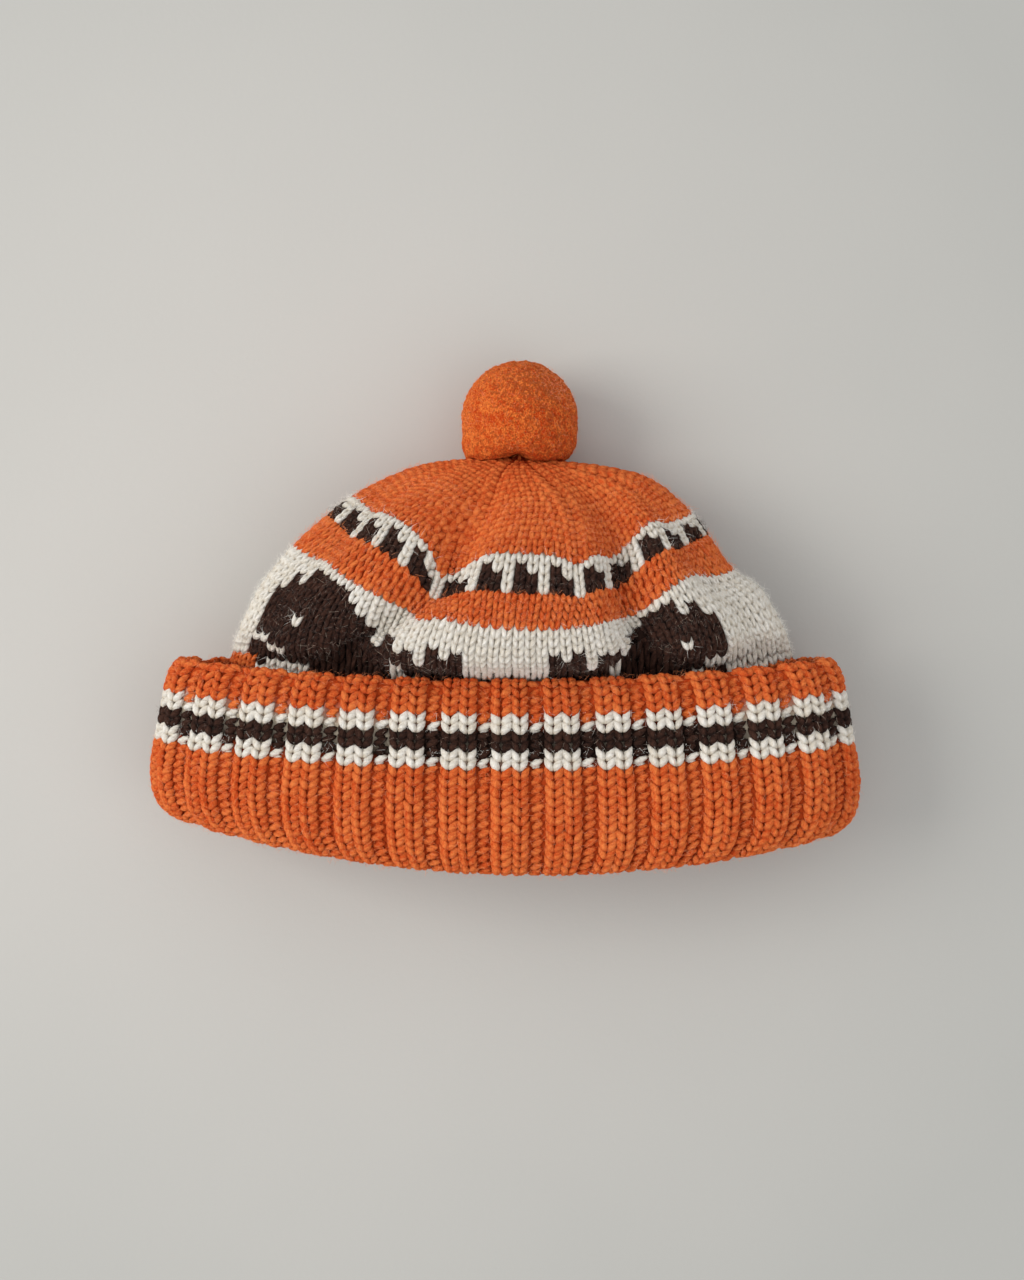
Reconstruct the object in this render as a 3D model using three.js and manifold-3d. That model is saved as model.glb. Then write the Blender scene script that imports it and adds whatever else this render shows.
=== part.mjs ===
// A child's knitted bobble hat with a turned-up ribbed cuff, lying on its back.
// Millimetres, +Z up. The opening faces -Y, the pompom lies towards +Y, and the front of the hat faces up.
import * as THREE from 'three';
import { mergeVertices } from 'three/addons/utils/BufferGeometryUtils.js';
import Module from 'manifold-3d';

const wasm = await Module();
wasm.setup();

// Cuff
const cuffWidth = 230; // across the cuff at its widest, over the ribs
const cuffDepth = 58; // from the surface up to the front ribs
const cuffHeight = 62; // from the folded edge to the lip, up the front
const cuffWall = 3.2; // one layer of ribbing
const ribRise = 1.5; // how far a rib stands out of the gaps beside it
const ribCount = 30; // ribs of two knit stitches all the way round
const ribOffset = 0.13; // how far right of the front's middle one rib lies, as a share of a rib and a gap
const pocketGap = 0.8; // between the turned-up layer and the inner one where they are pressed together
const pressedFlat = 0.9; // how far the lowest ribs are flattened by the surface

// Crown
const crownWidth = 184.6; // across the crown where it leaves the inner layer of the cuff
const crownBaseDepth = 41; // front to back at the same place
const crownHeight = 71; // the front's highest part above the surface
const crownLength = 66; // from the edge of the crown at the sides to its tip
const crownWall = 2.8; // one layer of stockinette
const creaseDepth = 9; // the deepest fold
const creaseWidth = 7; // half the width of a fold
const goreCount = 8; // wedges between the lines of decreases
const goreGroove = 1.2; // depth of the line where two wedges meet
const goreDip = 4.2; // how far the rows dip towards the cuff at such a line

// Pompom
const pompomDiameter = 38.6;
const pompomSquash = 0.8; // height of its lower half, pressed on the crown, as a share of its radius
const pompomReach = 12.6; // from the crown's tip to the widest part of the ball
const tuftCount = 38;
const tuftRise = 1.1; // how far a tuft stands out of the ball
const tuftShare = 0.3; // a tuft's radius as a share of the ball's

const seatGap = 0.3; // left between two pieces that meet
const joinGap = 0.5; // left where the crown goes on from the ribbing, whose ribs divide the way round differently

// The cuff's outer wall from its folded edge to its lip. height is a share of cuffHeight; half, of half the
// cuffWidth; front and back are its highest and lowest ribs, as shares of cuffDepth.
const cuffSections = [
  { height: 0.0, half: 0.925, front: 0.9, back: 0.05 },
  { height: 0.09, half: 0.98, front: 0.965, back: 0.0 },
  { height: 0.25, half: 1.0, front: 1.0, back: 0.0 },
  { height: 0.5, half: 0.985, front: 1.0, back: 0.0 },
  { height: 0.8, half: 0.963, front: 0.985, back: 0.0 },
  { height: 0.93, half: 0.948, front: 0.97, back: 0.0 },
  { height: 1.0, half: 0.925, front: 0.945, back: 0.02 },
];
// How the two edges of the cuff bow, as shares of cuffHeight past the lip at the sides.
const foldEdge = { front: -1.1, side: -0.87, back: -1.03 };
const lipEdge = { front: -0.1, side: 0.0, back: -0.02 };
const foldSkew = 3; // how far the folded edge's right side lies past its middle, and its left side short of it
const cuffSquare = 2.5; // how boxy the cuff's oval is: 2 is an ellipse
const innerFoot = 0.05; // how far up the turned-up layer's shape the inner layer starts, as a share

// The wall of the cuff in section: down the outside, round the fold, up inside and back between the layers.
// layer 0 is the turned-up wall and layer 1 the inner one; height is a share of each wall; inset is how deep
// in the wall, as a share of cuffWall; rib is how much of the ribs shows there.
const cuffProfile = [
  { layer: 0, height: 1.0, inset: 0.5, rib: 0.7 },
  { layer: 0, height: 0.95, inset: 0.0, rib: 1.0 },
  { layer: 0, height: 0.6, inset: 0.0, rib: 1.0 },
  { layer: 0, height: 0.28, inset: 0.0, rib: 1.0 },
  { layer: 0, height: 0.09, inset: 0.0, rib: 1.0 },
  { layer: 0, height: 0.0, inset: 0.3, rib: 0.7 },
  { layer: 1, height: 0.0, inset: 0.5, rib: -0.3 },
  { layer: 1, height: 0.12, inset: 1.0, rib: -0.8 },
  { layer: 1, height: 0.55, inset: 1.0, rib: -0.8 },
  { layer: 1, height: 1.0, inset: 1.0, rib: 0.0 },
  { layer: 1, height: 1.0, inset: 0.0, rib: 0.0 },
  { layer: 1, height: 0.55, inset: 0.0, rib: 0.0 },
  { layer: 1, height: 0.12, inset: 0.0, rib: 0.0 },
  { layer: 0, height: 0.12, inset: 1.0, rib: 0.0 },
  { layer: 0, height: 0.55, inset: 1.0, rib: 0.0 },
  { layer: 0, height: 0.95, inset: 1.0, rib: 0.3 },
];

// The crown from the cuff to its tip. row is a share of its rows of knitting; half, of half the crownWidth;
// side, front and back are where the row runs, as shares of crownLength past the lip of the cuff; top and
// floor are its highest and lowest parts, as shares of crownHeight; square is how boxy the oval is; lean
// moves it to the right and skew lowers its right side, both as shares of half the crownWidth.
const crownSections = [
  { row: 0.05, half: 0.985, side: 0.05, front: -0.095, back: -0.12, top: 0.675, floor: 0.073, square: 2.5,
    lean: 0.028, skew: 0.0 },
  { row: 0.1, half: 0.962, side: 0.125, front: -0.056, back: -0.05, top: 0.85, floor: 0.068, square: 2.4,
    lean: 0.028, skew: 0.0 },
  { row: 0.15, half: 0.925, side: 0.235, front: -0.03, back: 0.03, top: 0.92, floor: 0.04, square: 2.35,
    lean: 0.027, skew: 0.004 },
  { row: 0.21, half: 0.873, side: 0.36, front: 0.02, back: 0.12, top: 0.96, floor: 0.01, square: 2.3,
    lean: 0.026, skew: 0.01 },
  { row: 0.325, half: 0.769, side: 0.5, front: 0.15, back: 0.3, top: 1.0, floor: -0.014, square: 2.2,
    lean: 0.034, skew: 0.044 },
  { row: 0.42, half: 0.672, side: 0.655, front: 0.3, back: 0.46, top: 0.98, floor: -0.014, square: 2.1,
    lean: 0.048, skew: 0.035 },
  { row: 0.535, half: 0.595, side: 0.765, front: 0.507, back: 0.62, top: 0.9, floor: -0.014, square: 2.1,
    lean: 0.065, skew: 0.03 },
  { row: 0.7, half: 0.41, side: 0.93, front: 0.74, back: 0.81, top: 0.72, floor: 0.01, square: 2.0,
    lean: 0.09, skew: 0.016 },
  { row: 0.87, half: 0.18, side: 0.99, front: 0.92, back: 0.95, top: 0.53, floor: 0.15, square: 2.0,
    lean: 0.06, skew: 0.005 },
  { row: 1.0, half: 0.0, side: 1.0, front: 1.0, back: 1.0, top: 0.34, floor: 0.34, square: 2.0,
    lean: 0.056, skew: 0.0 },
];
const widestAt = 0.42; // where the crown is widest, as a share of its depth from the surface

// The folds in the crown. cuff, band and tip are where each one runs, as shares of the way round from the
// middle of the front, positive to the right; depth is a share of creaseDepth.
const creases = [
  { name: 'front left', cuff: -0.14, band: -0.072, tip: -0.07, depth: 1.0 },
  { name: 'front right', cuff: 0.1, band: 0.112, tip: 0.118, depth: 1.1 },
  { name: 'right side', cuff: 0.2, band: 0.2, tip: 0.18, depth: 0.3 },
  { name: 'left side', cuff: -0.215, band: -0.205, tip: -0.19, depth: 0.25 },
  { name: 'back right', cuff: 0.36, band: 0.35, tip: 0.34, depth: 0.55 },
  { name: 'back left', cuff: -0.37, band: -0.36, tip: -0.34, depth: 0.55 },
];
const bandRow = 0.48; // where the folds are set between cuff and tip, as a share of the rows
const girthShare = 4.4; // the way once round a row, as a multiple of half its width
const creaseRise = { from: 0, to: 0.12 }; // the rows over which a fold deepens above the cuff
const creaseFade = { from: 0.45, to: 0.92, by: 0.9 }; // the rows over which it fades, and how much of it does
const firstGore = -0.066; // the line of decreases left of the front's middle, as a share of the way round
const crownRowLength = 112; // along the knitting up the front, which the dip is set against
const dipRise = { from: 0.15, to: 0.45 }; // the rows over which the dip at such a line grows
const dipFade = { from: 0.7, to: 1 }; // and fades
const grooveRise = { from: 0.2, to: 0.5 };
const grooveFade = { from: 0.85, to: 1 };
const tipWall = 1.6; // how much thicker the gathered tip is than the wall

const TURN = Math.PI * 2;

function mix(a, b, share) {
  return a + (b - a) * share;
}

function smooth({ from, to }, value) {
  const share = THREE.MathUtils.clamp((value - from) / (to - from), 0, 1);
  return share * share * (3 - 2 * share);
}

// A smooth run through one table of sections, column by column.
function sectionAt(table, key, value) {
  let upper = table.findIndex((row) => row[key] > value);
  if (upper < 0) upper = table.length - 1;
  upper = Math.max(upper, 1);
  const rows = [-2, -1, 0, 1].map((step) => table[THREE.MathUtils.clamp(upper + step, 0, table.length - 1)]);
  const [before, start, end, after] = rows;
  const share = (value - start[key]) / (end[key] - start[key]);
  const result = {};
  for (const column of Object.keys(start)) {
    const span = end[key] - start[key];
    const slopeStart = before === start ? (end[column] - start[column]) / span
      : (end[column] - before[column]) / (end[key] - before[key]);
    const slopeEnd = after === end ? (end[column] - start[column]) / span
      : (after[column] - start[column]) / (after[key] - start[key]);
    const s2 = share * share;
    const s3 = s2 * share;
    result[column] = start[column] * (2 * s3 - 3 * s2 + 1) + slopeStart * span * (s3 - 2 * s2 + share)
      + end[column] * (3 * s2 - 2 * s3) + slopeEnd * span * (s3 - s2);
  }
  return result;
}

// One row of knitting is a flattened oval. Angle 0 is the middle of the front and the angle turns to the right.
function ovalPoint(oval, angle) {
  const power = 2 / oval.square;
  const across = Math.sign(Math.sin(angle)) * Math.abs(Math.sin(angle)) ** power;
  const through = Math.sign(Math.cos(angle)) * Math.abs(Math.cos(angle)) ** power;
  const middle = mix(oval.low, oval.high, oval.widest);
  const z = through > 0 ? mix(middle, oval.high, through) : mix(middle, oval.low, -through);
  const edge = through > 0 ? oval.frontY : oval.backY;
  const y = mix(edge, oval.sideY, across * across) - oval.skew * across;
  return new THREE.Vector3(oval.centre + oval.half * across, y, z);
}

// The angle at a share of the way round, so that stitches are spaced evenly along the oval.
const ovalSteps = 240;
function evenAngles(oval) {
  const lengths = [0];
  let last = ovalPoint(oval, -Math.PI);
  for (let i = 1; i <= ovalSteps; i += 1) {
    const point = ovalPoint(oval, -Math.PI + (TURN * i) / ovalSteps);
    lengths.push(lengths[i - 1] + point.distanceTo(last));
    last = point;
  }
  const start = lengths[ovalSteps / 2];
  const total = lengths[ovalSteps];
  return (share) => {
    const wanted = (((share * total + start) % total) + total) % total;
    let i = lengths.findIndex((length) => length > wanted);
    if (i < 1) i = ovalSteps;
    const part = (wanted - lengths[i - 1]) / (lengths[i] - lengths[i - 1]);
    return -Math.PI + (TURN * (i - 1 + part)) / ovalSteps;
  };
}

// Rows of points, each going once round, joined into the faces of a surface.
function joinRows(rows, positions, faces) {
  const starts = rows.map((row) => {
    const start = positions.length;
    positions.push(...row);
    return start;
  });
  for (let i = 0; i + 1 < rows.length; i += 1) {
    for (let k = 0; k < rows[i].length; k += 1) {
      const next = (k + 1) % rows[i].length;
      const a = starts[i] + k;
      const b = starts[i] + next;
      const c = starts[i + 1] + next;
      const d = starts[i + 1] + k;
      faces.push([a, b, c], [a, c, d]);
    }
  }
  return starts;
}

function geometryFrom(positions, faces) {
  let volume = 0;
  for (const [a, b, c] of faces) {
    volume += positions[a].dot(positions[b].clone().cross(positions[c]));
  }
  const geometry = new THREE.BufferGeometry();
  geometry.setAttribute('position', new THREE.Float32BufferAttribute(positions.flatMap((p) => p.toArray()), 3));
  geometry.setIndex(faces.flatMap((face) => (volume > 0 ? face : [face[0], face[2], face[1]])));
  return geometry;
}

function toSolid(geometry) {
  const plain = geometry.clone();
  plain.deleteAttribute('normal');
  plain.deleteAttribute('uv');
  const merged = mergeVertices(plain, 1e-4);
  return new wasm.Manifold(new wasm.Mesh({
    numProp: 3,
    vertProperties: Float32Array.from(merged.attributes.position.array),
    triVerts: Uint32Array.from(merged.index.array),
  }));
}

function toGeometry(solid) {
  const mesh = solid.getMesh();
  const geometry = new THREE.BufferGeometry();
  geometry.setAttribute('position', new THREE.Float32BufferAttribute(mesh.vertProperties, 3));
  geometry.setIndex(Array.from(mesh.triVerts));
  return geometry;
}

// The crown's row at the cuff, which the inner layer of the cuff runs up to.
const crownBase = {
  row: 0, half: 1, side: -0.018, front: -0.194, back: -0.18, square: 2.5, lean: 0.028, skew: 0,
  floor: (cuffWall + ribRise + pocketGap) / crownHeight,
};
crownBase.top = crownBase.floor + crownBaseDepth / crownHeight;

function crownOval(row) {
  const share = sectionAt([crownBase, ...crownSections], 'row', row);
  const half = crownWidth / 2;
  return {
    centre: half * share.lean,
    half: Math.max(half * share.half, 0),
    sideY: crownLength * share.side,
    frontY: crownLength * share.front,
    backY: crownLength * share.back,
    high: crownHeight * share.top,
    low: crownHeight * share.floor,
    square: share.square,
    skew: half * share.skew,
    widest: widestAt,
  };
}

function shrunk(oval, inset) {
  return { ...oval, half: oval.half - inset, high: oval.high - inset, low: oval.low + inset };
}

// Cuff
function cuffOval(height, inset) {
  const share = sectionAt(cuffSections, 'height', height);
  return {
    centre: 0,
    half: (cuffWidth / 2) * share.half - inset,
    sideY: cuffHeight * mix(foldEdge.side, lipEdge.side, height),
    frontY: cuffHeight * mix(foldEdge.front, lipEdge.front, height),
    backY: cuffHeight * mix(foldEdge.back, lipEdge.back, height),
    high: cuffDepth * share.front - inset,
    low: cuffDepth * share.back - pressedFlat + inset,
    square: cuffSquare,
    skew: mix(foldSkew, 0, height),
    widest: 0.5,
  };
}

function blendOval(a, b, share) {
  const result = {};
  for (const column of Object.keys(a)) {
    result[column] = mix(a[column], b[column], share);
  }
  return result;
}

// A layer of the cuff at one height: 0 is the turned-up one, 1 the inner one that runs up to the crown.
function layerOval(layer, height, inset) {
  if (layer === 0) {
    return cuffOval(height, inset * cuffWall + ribRise);
  }
  const foot = cuffOval(innerFoot, cuffWall + ribRise + pocketGap + inset * cuffWall);
  foot.sideY += cuffWall * inset;
  foot.frontY += cuffWall * inset;
  foot.backY += cuffWall * inset;
  const top = shrunk(crownOval(0), inset * cuffWall);
  top.sideY -= joinGap;
  top.frontY -= joinGap;
  top.backY -= joinGap;
  return blendOval(foot, top, height);
}

// A rib is two stitches wide with rounded sides, and a gap is one and a half.
const ribStep = 0.002; // the share of the way round over which the wall's direction is taken
const ribShape = [
  { turn: 0.0, rise: 1.0 },
  { turn: 0.22, rise: 0.95 },
  { turn: 0.4, rise: 0.12 },
  { turn: 0.6, rise: 0.12 },
  { turn: 0.78, rise: 0.95 },
];

function makeCuff() {
  const rows = cuffProfile.map((station) => {
    const oval = layerOval(station.layer, station.height, station.inset);
    const angleAt = evenAngles(oval);
    const row = [];
    for (let rib = 0; rib < ribCount; rib += 1) {
      for (const { turn, rise } of ribShape) {
        const share = (rib + turn + ribOffset) / ribCount;
        const point = ovalPoint(oval, angleAt(share));
        const ahead = ovalPoint(oval, angleAt(share + ribStep));
        const behind = ovalPoint(oval, angleAt(share - ribStep));
        const out = new THREE.Vector3(-(ahead.z - behind.z), 0, ahead.x - behind.x).normalize();
        point.addScaledVector(out, ribRise * rise * station.rib);
        point.z = Math.max(point.z, 0);
        row.push(point);
      }
    }
    return row;
  });
  const positions = [];
  const faces = [];
  joinRows([...rows, rows[0]], positions, faces);
  return mergeVertices(geometryFrom(positions, faces), 1e-4);
}

// Crown
function creaseAt(share, row, oval) {
  const length = oval.half * girthShare;
  let depth = 0;
  for (const crease of creases) {
    const place = row < bandRow ? mix(crease.cuff, crease.band, row / bandRow)
      : mix(crease.band, crease.tip, (row - bandRow) / (1 - bandRow));
    const away = (share - place - Math.round(share - place)) * length;
    depth += crease.depth * Math.exp(-((away / creaseWidth) ** 2));
  }
  return creaseDepth * depth * smooth(creaseRise, row) * (1 - creaseFade.by * smooth(creaseFade, row));
}

function goreLine(share) {
  const within = (share - firstGore) * goreCount;
  return (1 - Math.abs(Math.sin(Math.PI * within))) ** 2;
}

const angleTables = new Map();
function rowAngles(row) {
  if (!angleTables.has(row)) {
    angleTables.set(row, evenAngles(crownOval(row)));
  }
  return angleTables.get(row);
}

const rowStep = 0.02; // the shares of the rows and of the turn over which the wall's direction is taken
const turnStep = 0.03;
function crownPoint(share, row, inset) {
  const line = goreLine(share);
  const dip = (goreDip / crownRowLength) * line * smooth(dipRise, row) * (1 - smooth(dipFade, row));
  const dipped = row - dip;
  const angle = rowAngles(row)(share);
  const oval = crownOval(dipped);
  const point = ovalPoint(oval, angle);
  const ahead = ovalPoint(crownOval(Math.min(dipped + rowStep, 1 - rowStep / 4)), angle);
  const along = ahead.sub(ovalPoint(crownOval(Math.max(dipped - rowStep, 0)), angle));
  const round = ovalPoint(oval, angle + turnStep).sub(ovalPoint(oval, angle - turnStep));
  const out = round.cross(along).normalize();
  const grooved = goreGroove * line * smooth(grooveRise, row) * (1 - smooth(grooveFade, row));
  const sunk = creaseAt(share, row, oval) + grooved;
  point.addScaledVector(out, -sunk - inset);
  point.z = Math.max(point.z, inset);
  return point;
}

const crownColumns = 72;
const outerRows = [0, 0.04, 0.09, 0.15, 0.21, 0.27, 0.33, 0.39, 0.45, 0.51, 0.58, 0.65, 0.72, 0.8, 0.88, 0.95];
const innerRows = [0.9, 0.78, 0.65, 0.53, 0.42, 0.32, 0.22, 0.12, 0.05, 0];

function crownSurface(rows, inset) {
  return rows.map((row) => {
    const points = [];
    const edge = shrunk(crownOval(0), inset);
    for (let k = 0; k < crownColumns; k += 1) {
      const share = k / crownColumns;
      points.push(row > 0 ? crownPoint(share, row, inset) : ovalPoint(edge, rowAngles(0)(share)));
    }
    return points;
  });
}

const tipOval = crownOval(1);
const tip = new THREE.Vector3(tipOval.centre, tipOval.sideY, tipOval.high);

function closeWith(point, ring, positions, faces, start) {
  positions.push(point);
  for (let k = 0; k < ring.length; k += 1) {
    faces.push([start + k, start + ((k + 1) % ring.length), positions.length - 1]);
  }
}

function makeCrown() {
  const outer = crownSurface(outerRows, 0);
  const inner = crownSurface(innerRows, crownWall);
  const positions = [];
  const faces = [];
  const rows = [...inner, ...outer];
  const starts = joinRows(rows, positions, faces);
  closeWith(tip, outer.at(-1), positions, faces, starts.at(-1));
  const innerTip = tip.clone().add(new THREE.Vector3(0, -crownWall * tipWall, 0));
  positions.push(innerTip);
  for (let k = 0; k < crownColumns; k += 1) {
    faces.push([starts[0] + ((k + 1) % crownColumns), starts[0] + k, positions.length - 1]);
  }
  return geometryFrom(positions, faces);
}

// Pompom: a ball with tufts all over, seated on the crown's tip and pressed broad where it meets it.
function ballReach(way) {
  if (way.y > 0) return 1;
  const broad = Math.hypot(way.x, way.z) ** 3 + (-way.y / pompomSquash) ** 3;
  return 1 / Math.cbrt(broad);
}

// The crown's outside as a solid, grown by the gap that the pompom keeps to it.
function crownBody() {
  const rows = crownSurface(outerRows, -seatGap);
  const positions = [];
  const faces = [];
  const starts = joinRows(rows, positions, faces);
  closeWith(tip.clone().add(new THREE.Vector3(0, seatGap, 0)), rows.at(-1), positions, faces, starts.at(-1));
  positions.push(new THREE.Vector3(0, 0, crownHeight * crownBase.floor + crownBaseDepth / 2));
  for (let k = 0; k < crownColumns; k += 1) {
    faces.push([starts[0] + ((k + 1) % crownColumns), starts[0] + k, positions.length - 1]);
  }
  return toSolid(geometryFrom(positions, faces));
}

function makePompom() {
  const radius = pompomDiameter / 2 - tuftRise;
  const centre = new THREE.Vector3(tip.x, tip.y + pompomReach, pompomDiameter / 2);
  const head = new THREE.IcosahedronGeometry(1, 4);
  const points = head.attributes.position;
  const way = new THREE.Vector3();
  for (let i = 0; i < points.count; i += 1) {
    way.fromBufferAttribute(points, i);
    way.multiplyScalar(radius * ballReach(way)).add(centre);
    points.setXYZ(i, way.x, way.y, way.z);
  }
  let ball = toSolid(head);
  const tuftSize = radius * tuftShare;
  const goldenAngle = Math.PI * (3 - Math.sqrt(5));
  for (let k = 0; k < tuftCount; k += 1) {
    const height = 1 - (2 * k + 1) / tuftCount;
    const ring = Math.sqrt(1 - height * height);
    way.set(ring * Math.cos(goldenAngle * k), height, ring * Math.sin(goldenAngle * k));
    way.multiplyScalar(radius * ballReach(way) + tuftRise - tuftSize).add(centre);
    const tuft = new THREE.DodecahedronGeometry(tuftSize, 0).translate(way.x, way.y, way.z);
    ball = ball.add(toSolid(tuft));
  }
  return toGeometry(ball.subtract(crownBody()));
}

const wool = (name, colour) => new THREE.MeshStandardMaterial({ name, color: colour, roughness: 0.95, metalness: 0 });

const cuff = new THREE.Mesh(makeCuff(), wool('orange_wool', 0xd97035));
cuff.name = 'cuff';
const crown = new THREE.Mesh(makeCrown(), wool('cream_wool', 0xe6dfd2));
crown.name = 'crown';
const pompom = new THREE.Mesh(makePompom(), wool('pompom_wool', 0xdb6f35));
pompom.name = 'pompom';

const hat = new THREE.Group();
hat.add(cuff, crown, pompom);
const bounds = new THREE.Box3().setFromObject(hat);
const middle = bounds.getCenter(new THREE.Vector3());
hat.position.set(-middle.x, -middle.y, -bounds.min.z);
hat.updateMatrixWorld(true);

export default hat;
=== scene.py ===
# A child's knitted bobble hat with a turned-up ribbed cuff, lying on its back and seen from above.
import math

import bmesh
import bpy
import numpy as np
from mathutils import Matrix, Vector
from mathutils.kdtree import KDTree


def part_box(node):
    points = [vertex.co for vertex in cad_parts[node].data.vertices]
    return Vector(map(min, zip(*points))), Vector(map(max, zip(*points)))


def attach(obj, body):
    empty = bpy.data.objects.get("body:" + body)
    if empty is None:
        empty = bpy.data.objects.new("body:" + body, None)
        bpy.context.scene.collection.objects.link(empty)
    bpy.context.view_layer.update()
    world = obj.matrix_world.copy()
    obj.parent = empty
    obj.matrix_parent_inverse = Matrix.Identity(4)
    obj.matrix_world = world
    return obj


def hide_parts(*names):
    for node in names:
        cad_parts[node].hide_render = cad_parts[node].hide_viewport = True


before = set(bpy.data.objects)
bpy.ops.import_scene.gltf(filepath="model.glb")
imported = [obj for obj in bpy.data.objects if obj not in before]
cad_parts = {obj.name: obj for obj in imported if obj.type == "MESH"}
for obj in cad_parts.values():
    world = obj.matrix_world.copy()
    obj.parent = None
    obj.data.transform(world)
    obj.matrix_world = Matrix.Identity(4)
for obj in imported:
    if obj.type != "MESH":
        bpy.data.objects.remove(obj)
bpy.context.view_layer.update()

# Camera and light
# The hat is seen from straight above, from about arm's length, in the soft light of a window at the upper
# left. It lies on a plain pale floor.
picture_width = 0.347
picture_share = 1280 / 1024
eye = Vector((0.0026, -0.0085, 0.7))
sensor = 36
lens_data = bpy.data.cameras.new("camera")
lens_data.sensor_fit = "VERTICAL"
lens_data.sensor_height = sensor
lens_data.lens = sensor * eye.z / (picture_width * picture_share)
camera = bpy.data.objects.new("camera", lens_data)
camera.location = eye
bpy.context.collection.objects.link(camera)
bpy.context.scene.camera = camera
bpy.context.scene.view_settings.view_transform = "Standard"


def linear(red, green, blue):
    """A colour as it shows on a screen, from 0 to 255, as the shader wants it."""
    shown = np.array([red, green, blue]) / 255
    low, high = shown / 12.92, ((shown + 0.055) / 1.055) ** 2.4
    return (*np.where(shown < 0.04045, low, high).tolist(), 1.0)


class Wire:
    """A socket of a material, with the arithmetic that adds its Math nodes."""

    def __init__(self, finish, socket):
        self.finish = finish
        self.socket = socket

    def math(self, operation, first, second):
        return self.finish.node("ShaderNodeMath", {"operation": operation}, {0: first, 1: second})

    def __add__(self, other):
        return self.math("ADD", self, other)

    __radd__ = __add__

    def __sub__(self, other):
        return self.math("SUBTRACT", self, other)

    def __rsub__(self, other):
        return self.math("SUBTRACT", other, self)

    def __mul__(self, other):
        return self.math("MULTIPLY", self, other)

    __rmul__ = __mul__


class Finish:
    """A material under construction."""

    def __init__(self, name):
        self.material = bpy.data.materials.new(name)
        self.material.use_nodes = True
        self.tree = self.material.node_tree
        self.shader = self.tree.nodes["Principled BSDF"]

    def node(self, kind, settings=None, sockets=None, out=0):
        """Adds a node, sets its settings, then its sockets' values or links, and returns one output."""
        node = self.tree.nodes.new(kind)
        for name, value in (settings or {}).items():
            setattr(node, name, value)
        for key, value in (sockets or {}).items():
            self.feed(node.inputs[key], value)
        return Wire(self, node.outputs[out])

    def feed(self, socket, value):
        if isinstance(value, Wire):
            self.tree.links.new(value.socket, socket)
        else:
            socket.default_value = value

    def blend(self, share, first, second):
        """A colour between two others."""
        return self.node(
            "ShaderNodeMix", {"data_type": "RGBA"}, {0: share, 6: first, 7: second}, out=2
        )

    def clamp(self, value):
        return self.node("ShaderNodeClamp", sockets={"Value": value})

    def noise(self, place, scale, detail, roughness=0.5):
        """Cloudy noise over a place. scale is how many of its patches lie along a length of 1."""
        sockets = {"Vector": place, "Scale": scale, "Detail": detail, "Roughness": roughness}
        return self.node("ShaderNodeTexNoise", sockets=sockets)

    def attribute(self, name, out):
        return self.node("ShaderNodeAttribute", {"attribute_name": name}, out=out)

    def surface(self, **sockets):
        for name, value in sockets.items():
            self.feed(self.shader.inputs[name.replace("_", " ").title()], value)

    def relief(self, height, strength, distance):
        """Fine bumps on the surface."""
        sockets = {"Height": height, "Strength": strength, "Distance": distance}
        self.surface(normal=self.node("ShaderNodeBump", sockets=sockets))


def make_floor():
    floor_mesh = bpy.data.meshes.new("floor")
    reach = 3.0
    painted_light_centre = (-0.06, 0.0, 0.0)
    corners = [(-reach, -reach, 0), (reach, -reach, 0), (reach, reach, 0), (-reach, reach, 0)]
    floor_mesh.from_pydata(corners, [], [(0, 1, 2, 3)])
    floor = bpy.data.objects.new("floor", floor_mesh)
    bpy.context.collection.objects.link(floor)
    paint = Finish("pale_floor")
    place = paint.node("ShaderNodeTexCoord", out="Object")
    cloudy = paint.noise(place, 9.0, 3.0)
    grain = paint.noise(place, 500.0, 2.0)
    # Painted light falloff: the floor is lighter near a point beside the hat and darker towards the corners,
    # with some cloudy mottling.
    away = paint.node("ShaderNodeVectorMath", {"operation": "DISTANCE"}, {0: place, 1: painted_light_centre}, out="Value")
    painted_falloff_and_mottle = paint.clamp(away * 4.0 + cloudy * 0.3 - 0.3)
    paint.surface(base_color=paint.blend(painted_falloff_and_mottle, linear(193, 189, 182), linear(173, 172, 166)), roughness=0.75)
    paint.relief(grain, 0.12, 0.0004)
    floor_mesh.materials.append(paint.material)


make_floor()


def add_light(name, place, aim, size, watts, colour):
    """A soft square light that looks at a point of the hat."""
    lamp_data = bpy.data.lights.new(name, "AREA")
    lamp_data.size = size
    lamp_data.energy = watts
    lamp_data.color = colour
    lamp = bpy.data.objects.new(name, lamp_data)
    lamp.location = place
    lamp.rotation_euler = (Vector(aim) - Vector(place)).to_track_quat("-Z", "Y").to_euler()
    bpy.context.collection.objects.link(lamp)


add_light("window", (-1.5, 0.22, 1.12), (0, 0, 0), 1.1, 22.5, (1.0, 0.985, 0.96))
add_light("room", (0.9, -0.5, 1.3), (0, 0, 0), 1.2, 3.1, (1.0, 0.96, 0.92))
room = bpy.data.worlds.new("room")
room.use_nodes = True
room.node_tree.nodes["Background"].inputs["Color"].default_value = (0.94, 0.96, 1.0, 1.0)
room.node_tree.nodes["Background"].inputs["Strength"].default_value = 0.83
bpy.context.scene.world = room

# Crown
# The crown is stockinette in three colours of thick wool, knitted round and drawn in to the tip along eight
# lines of decreases. It is hollow, and as it lies its front sinks into two deep folds.
MM = 0.001
crown_width = 184.6
crown_length = 66.0
crown_height = 71.0
crown_base_depth = 41.0
cuff_wall = 3.2
rib_rise = 1.5
pocket_gap = 0.8
crown_wall = 2.8
cuff_height = 62.0
knit_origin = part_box("crown")[1].y / MM - crown_length  # the lip's place along Y


def columns(names, rows):
    """A table with named columns."""
    return dict(zip(names.split(), np.array(rows, dtype=float).T))


def smooth(low, high, value):
    share = np.clip((value - low) / (high - low), 0, 1)
    return share * share * (3 - 2 * share)


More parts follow.
